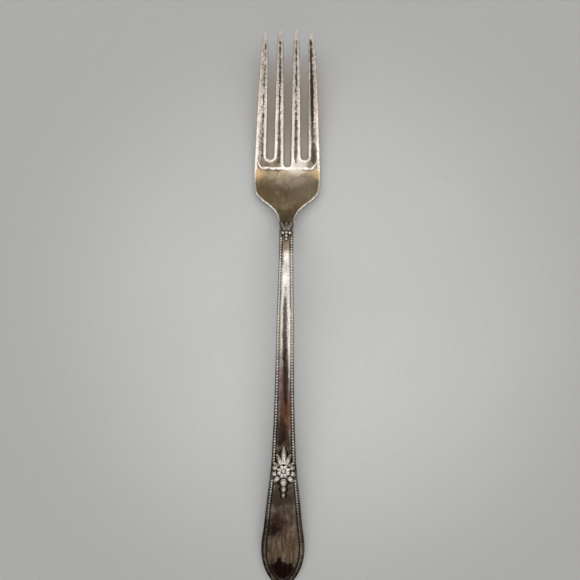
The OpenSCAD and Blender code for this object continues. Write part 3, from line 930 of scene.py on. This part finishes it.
def tarnish(n, s):
    """The colour along the fork, painted highlight of the upper stem included. It also adds to s how much is
    tarnish, and how much rubbing has left.
    """
    # a ragged drift keeps each step from running straight across
    y_share = n.calc("DIVIDE", n.calc("SUBTRACT", s.y, END_Y * MM), FORK_L * MM)
    y_share = n.add(y_share, n.swing(n.noise(s.place, 130.0, 4.0, 0.6), 0.05))
    tint, strength, coarse = (ramp_along(n, y_share, stops) for stops in (TINTS, STRENGTHS, GRAIN))
    cloud = n.group(clouds.tree, Vector=s.place, Scale=190.0, Amount=0.62)
    s.mottle = n.ease(s.grain, 0.43, 0.57)

    # rubbed places keep their brightness, less so on the lower handle, which hands leave tarnished
    rub = n.ease(s.y, -0.072, -0.054, 0.5, 0.95)
    s.kept = n.calc("SUBTRACT", 1.0, n.times(s.bare, rub, n.ease(s.grain, 0.37, 0.53, 0.45, 1.0)))
    s.amount = n.times(strength, n.ease(cloud["Mask"], 0.0, 1.0, 0.95, 1.1), s.kept)
    drawn = n.noise(n.stretched(s.place, (1.0, 0.11, 1.0)), 900.0, 3.0, 0.6)
    return n.lay(
        BRIGHT, (s.amount, tint),
        (n.times(s.mottle, coarse, s.kept, 0.8), n.mix(0.6, tint, (56, 42, 34))),
        (n.times(cloud["Speckle"], coarse, 0.6), (48, 36, 30)),
        (n.times(cloud["Mask"], strength, coarse, s.kept, 0.5), (66, 50, 41)),
        # the lay of the polishing, along the fork
        (n.times(n.ease(drawn, 0.48, 0.66), s.amount, coarse, 0.5), (52, 38, 30)),
        (n.times(n.ease(drawn, 0.46, 0.32), s.amount, coarse, 0.1), BRIGHT))


print("masks that the finish reads:", MASKS)


# %% The stains and painted lights, the painted highlight at the end of the bowl, and the painted reflections on the tines
def stains_and_painted_lights(n, s, colour):
    # most spots are stains; a few are painted highlights and painted dark reflections
    for x, y, radius, wide, long, depth, softness, stain_and_light_colour in STAINS_AND_PAINTED_LIGHTS:
        spot = n.group(
            stain_and_light_spot.tree, Vector=s.place, Place=(x * MM, y * MM, 0.0), Radius=radius * MM,
            Stretch=(wide, long, 0.0), Softness=softness)
        depth = n.add(0.88 * depth, n.times(s.mottle, 0.12 * depth))
        colour = n.mix(n.times(spot["Mask"], s.kept, s.upper, depth), colour, stain_and_light_colour)
    return colour


def painted_bowl_highlight_and_shade(n, s, colour):
    """A painted highlight, a bright line where the bowl ends and the tines begin, and painted shade, a dark
    line just under it.
    """
    from_middle = n.calc("ABSOLUTE", s.x)
    outwards = n.calc("MAXIMUM", n.times(n.add(from_middle, -0.0080), 370.0), 0.0)
    off = n.add(s.y, -0.0530, n.swing(s.ragged, 0.0014), n.times(n.calc("POWER", outwards, 3.0), -0.0028))
    inside = n.ease(from_middle, 0.0112, 0.0105)
    beside = n.add(n.ease(s.x, -0.0004, -0.0018), n.ease(s.x, 0.0042, 0.0062))
    # line: the painted highlight along the crease of the bowl
    line = n.times(
        n.ease(n.calc("ABSOLUTE", off), 0.0006, 0.0001), inside, s.upper,
        n.ease(s.grain, 0.38, 0.54, 0.25, 0.9), n.ease(beside, 0.0, 1.0, 0.35, 1.0))
    # under: painted shade, a dark line just under the crease
    under = n.ease(n.calc("ABSOLUTE", n.add(off, 0.0007)), 0.0004, 0.0001)
    under = n.times(under, inside, beside, n.ease(s.grain, 0.42, 0.52), s.upper, 0.85)
    return n.lay(colour, (line, BRIGHT), (under, (78, 64, 48)))


def painted_tine_reflections(n, s, colour):
    """A painted dark reflection along the middle of each tine: thin on the left one, broad on the right one.
    """
    far = n.ease(s.y, 0.064, 0.072)
    broad, thin = n.ease(s.x, 0.005, 0.007, 0.0, 0.12), n.ease(s.x, -0.005, -0.007, 0.0, -0.07)
    reach = n.add(
        s.spine, n.swing(s.ragged, 0.75), n.swing(s.grain, n.ease(far, 0.0, 1.0, 1.0, 0.65)),
        n.add(n.times(far, broad), thin))
    # a painted dark reflection, with ragged edges, along the middle of the tine
    painted_reflection = n.ease(n.add(reach, n.ease(far, 1.0, 0.0, 0.0, 0.1)), 0.80, 0.88)
    dark = n.mix(far, (70, 58, 60), (38, 26, 20))
    return n.mix(n.times(painted_reflection, n.ease(s.spine, 0.15, 0.5), s.upper, 0.9), colour, dark)


print("the bowl ends", round(ROOT_Y - 53.0, 1), "mm below the roots of the slots")


# %% The two metals
def new_finish(name):
    """A new material, its nodes, its shader, and the place on the object."""
    mat = bpy.data.materials.new(name)
    mat.use_nodes = True
    n = Nodes(mat.node_tree)
    return mat, n, mat.node_tree.nodes["Principled BSDF"], n.new("ShaderNodeTexCoord")["Object"]


def silver_finish():
    mat, n, shader, place = new_finish("aged_silver")
    s = read_surface(n, place)
    colour = tarnish(n, s)
    for step in (stains_and_painted_lights, painted_bowl_highlight_and_shade, painted_tine_reflections):
        colour = step(n, s, colour)
    grime = n.times(s.hollow, n.ease(s.ragged, 0.34, 0.52, 0.55, 1.0), 0.95)
    scratch = n.group(scratches.tree, Vector=place, Scale=1500.0)
    wavy = n.noise(place, 420.0, 2.0, 0.5)
    n.fill(shader, {
        "Base Color": n.mix(grime, colour, (36, 25, 20)),
        "Metallic": 1.0,
        "Roughness": n.add(
            0.24, n.times(s.amount, 0.16), n.times(scratch["Dull"], 0.14), n.times(s.hollow, 0.3),
            n.ease(s.y, 0.088, 0.0925, 0.0, 0.08)),
        "Normal": n.bump(n.add(scratch["Height"], n.times(wavy, 4.0), n.times(s.grain, 2.4)), 1.0, 0.000018),
    })
    return mat


def blank_finish():
    """The yellower metal where the silver is worn through."""
    mat, n, shader, place = new_finish("worn_nickel_silver")
    cloud = n.group(clouds.tree, Vector=place, Scale=300.0, Amount=0.5)
    scratch = n.group(scratches.tree, Vector=place, Scale=1200.0)
    n.fill(shader, {
        "Base Color": n.lay(
            (204, 190, 154), (cloud["Mask"], (150, 132, 96)), (n.times(cloud["Speckle"], 0.4), (92, 78, 58))),
        "Metallic": 1.0,
        "Roughness": n.add(0.34, n.times(scratch["Dull"], 0.25)),
        "Normal": n.bump(scratch["Height"], 0.5, 0.00003),
    })
    return mat


aged_silver, worn_nickel = silver_finish(), blank_finish()
silver.data.materials.append(aged_silver)
blank.data.materials.append(worn_nickel)
beads = set_beads(aged_silver)

# %% [markdown]
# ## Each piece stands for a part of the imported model
# The shell and its beads stand for the plate, and the blank stands for the blank. Nothing on a fork
# moves, so all of them ride on the one body.

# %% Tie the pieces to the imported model
for piece, node, slot in (
    (silver, "silver_plate", "aged_silver"),
    (beads, "silver_plate", "aged_silver"),
    (blank, "nickel_silver_blank", "nickel_silver"),
):
    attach(piece, "root")
    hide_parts(node)
    print(piece.name, "stands for", node)

# %% [markdown]
# ## The table
# A matt, pale grey sheet. A broad cloud and a fine grain keep it from looking cut from one tone. It is a
# little darker away from the fork, a painted falloff of the light, and a little browner under the raised
# tines, painted warm shade and painted light reflected from the fork.

# %% Table
TABLE_HALF = 1.2


def table():
    mesh = bpy.data.meshes.new("table")
    corners = [(x * TABLE_HALF, y * TABLE_HALF, 0) for x, y in ((-1, -1), (1, -1), (1, 1), (-1, 1))]
    mesh.from_pydata(corners, [], [(0, 1, 2, 3)])
    mat, n, shader, place = new_finish("matt_table")
    cloud, grain = n.noise(place, 9.0, 3.0, 0.5), n.noise(place, 600.0, 2.0, 0.5)
    away = n.vector("LENGTH", n.vector("SUBTRACT", place, (0.012, 0.0, 0.0)))
    x, y, _ = n.axes(place)
    # painted warm shade and painted light reflected from the fork, under the raised tines; darker towards the
    # tips
    painted_warm_shade_under_tines = n.times(
        n.ease(n.calc("ABSOLUTE", x), 0.0155, 0.0065), n.ease(y, 0.046, 0.060), n.ease(y, 0.101, 0.077), 0.95)
    tone = n.lay(
        (194, 195, 195), (n.ease(cloud, 0.35, 0.65), (199, 200, 200)),
        # painted falloff of the light: the sheet is darker away from the fork
        (n.ease(away, 0.022, 0.125), (173, 173, 172)),
        (n.times(n.ease(grain, 0.5, 0.75), 0.1), (160, 160, 156)),
        (painted_warm_shade_under_tines, n.mix(n.ease(y, 0.064, 0.090), (198, 187, 172), (166, 155, 145))))
    n.fill(shader, {"Base Color": tone, "Roughness": 0.8, "Specular IOR Level": 0.2})
    mesh.materials.append(mat)
    return new_object("table", mesh)


floor = table()
print("the table is", round(2 * TABLE_HALF, 1), "m wide")

# %% [markdown]
# ## Light
# Metal shows what stands round it. A long soft box on each side draws the bright rims, one behind
# brightens the stem, and the space right above stays dim, which keeps the flats of the tines quiet.

# %% Soft boxes and the room
WARM = (1.0, 0.991, 0.976)
SOFT_BOXES = [
    # name, place, width, length, brightness, and how far along the fork it is aimed
    ("left_box", (-0.33, 0.0, 0.76), 0.42, 0.9, 1.7, 0.0),
    ("right_box", (0.33, 0.0, 0.76), 0.42, 0.9, 1.7, 0.0),
    ("back_box", (0.0, 0.62, 0.62), 0.8, 0.42, 1.6, 0.0),
    ("high_strip", (0.0, 0.235, 0.9), 0.3, 0.14, 1.9, 0.03),
    ("front_box", (0.0, -0.78, 0.72), 0.8, 0.5, 1.15, 0.0),
]


def soft_box(name, place, width, length, brightness, aim):
    """A lamp whose face, seen in a perfect mirror, is as bright as white times its brightness."""
    data = bpy.data.lights.new(name, "AREA")
    data.shape = "RECTANGLE"
    data.size, data.size_y = width, length
    data.energy = brightness * math.pi * width * length
    data.color = WARM
    lamp = new_object(name, data)
    lamp.location = place
    lamp.rotation_euler = (Vector((0, aim, 0)) - Vector(place)).to_track_quat("-Z", "Y").to_euler()
    print(name, "at", place, "takes", round(data.energy, 2), "W")


for box in SOFT_BOXES:
    soft_box(*box)
bpy.context.scene.world = world = bpy.data.worlds.new("room")
world.use_nodes = True
room = world.node_tree.nodes["Background"]
room.inputs["Color"].default_value = (1.0, 0.99, 0.977, 1.0)
room.inputs["Strength"].default_value = 0.3

# %% [markdown]
# ## Camera
# The photograph was taken from straight above and quite near, so the raised tips look larger than the
# handle. A camera 210 mm over the table with a field of 53 degrees shows the same picture. The fork leans
# a little to the right in it.

# %% Camera
CAMERA_PLACE = (1.49, 9.65, 210.0)
LEAN = 0.66  # degrees
SENSOR, FIELD_PIXELS, PICTURE_PIXELS = 36.0, 581.6, 580.0
lens = bpy.data.cameras.new("camera")
lens.sensor_width = SENSOR
lens.lens = SENSOR * FIELD_PIXELS / PICTURE_PIXELS
lens.clip_start = 0.01
camera = new_object("camera", lens)
camera.location = [v * MM for v in CAMERA_PLACE]
camera.rotation_euler = (0, 0, math.radians(LEAN))
bpy.context.scene.camera = camera
bpy.context.scene.view_settings.view_transform = "Standard"
print("camera", tuple(round(v, 4) for v in camera.location), "lens", round(lens.lens, 2), "mm")

# %% The end
bpy.context.view_layer.update()
